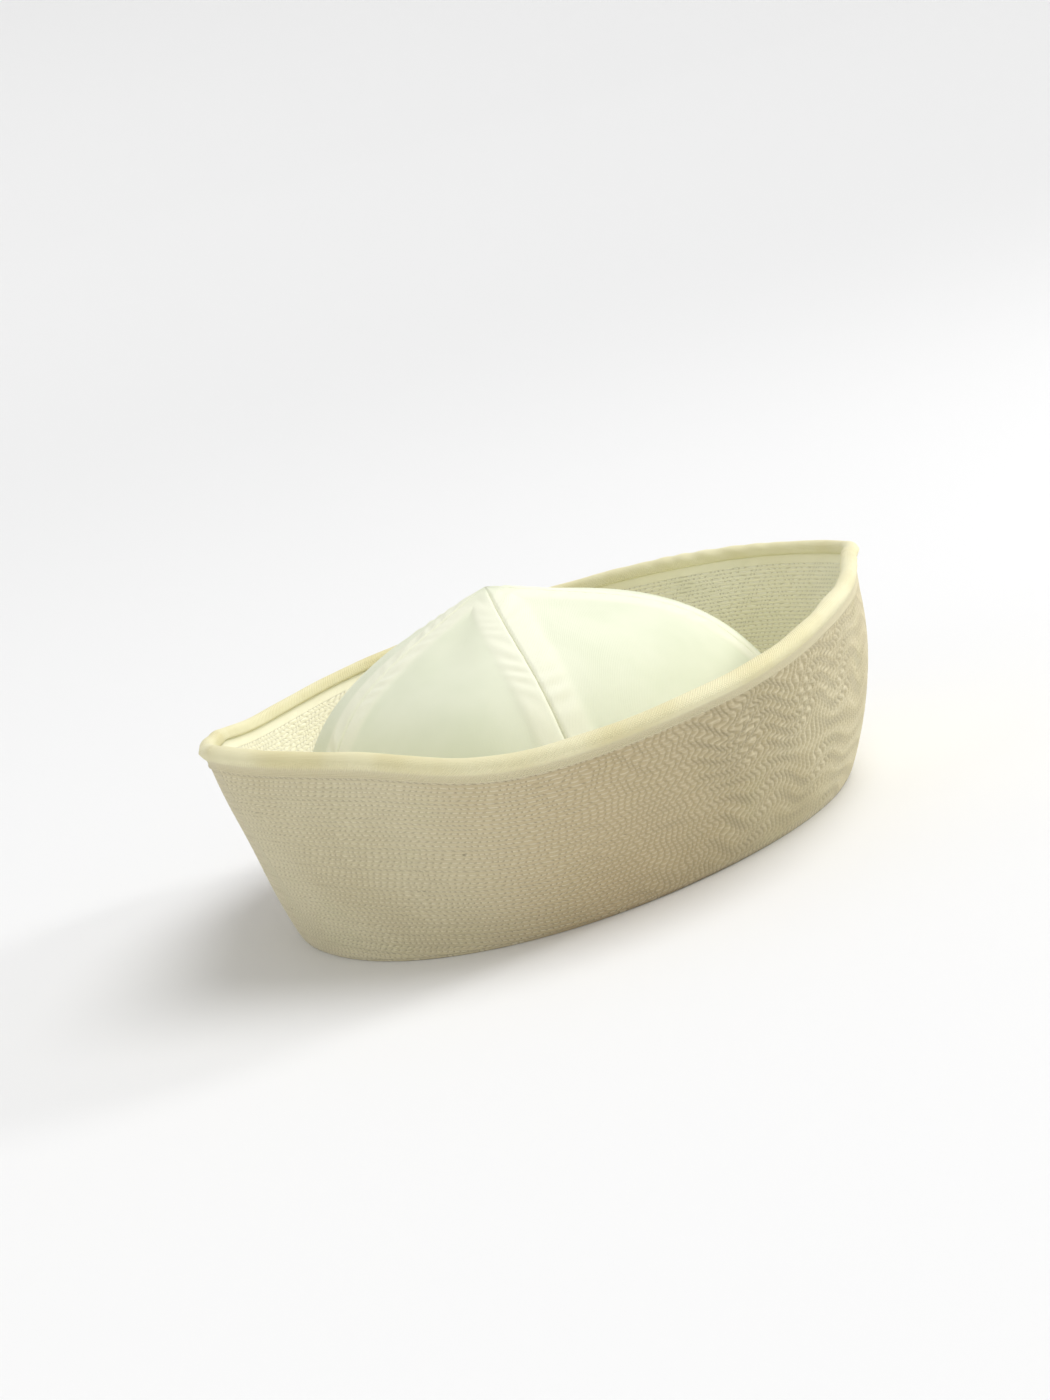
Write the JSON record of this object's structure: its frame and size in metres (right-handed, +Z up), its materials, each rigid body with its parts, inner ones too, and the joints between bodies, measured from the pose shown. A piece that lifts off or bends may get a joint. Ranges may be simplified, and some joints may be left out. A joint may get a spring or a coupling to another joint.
{
  "type": "sailor cap",
  "caption": "White cotton sailor cap: a gored dome crown inside a stiff, flared, row-stitched turned-up brim with a rolled top edge.",
  "frame": {"origin": "centre of the overall box at the base, on the plane the brim's fold stands on", "axes": "+Z up out of the crown's peak, +Y to the back of the head, so the forehead is at -Y and the wearer's right at -X"},
  "size_m": [0.2332, 0.2518, 0.0959],
  "materials": {
    "brim_cloth": "cream cotton twill in close rows of stitching",
    "rim_cloth": "cream cotton strip, rolled and bound",
    "crown_cloth": "white cotton twill"
  },
  "bodies": {
    "root": {"brim": "brim_cloth", "rim_roll": "rim_cloth", "crown_gore_1": "crown_cloth", "crown_gore_2": "crown_cloth", "crown_gore_3": "crown_cloth", "crown_gore_4": "crown_cloth", "crown_gore_5": "crown_cloth"}
  },
  "joints": []
}
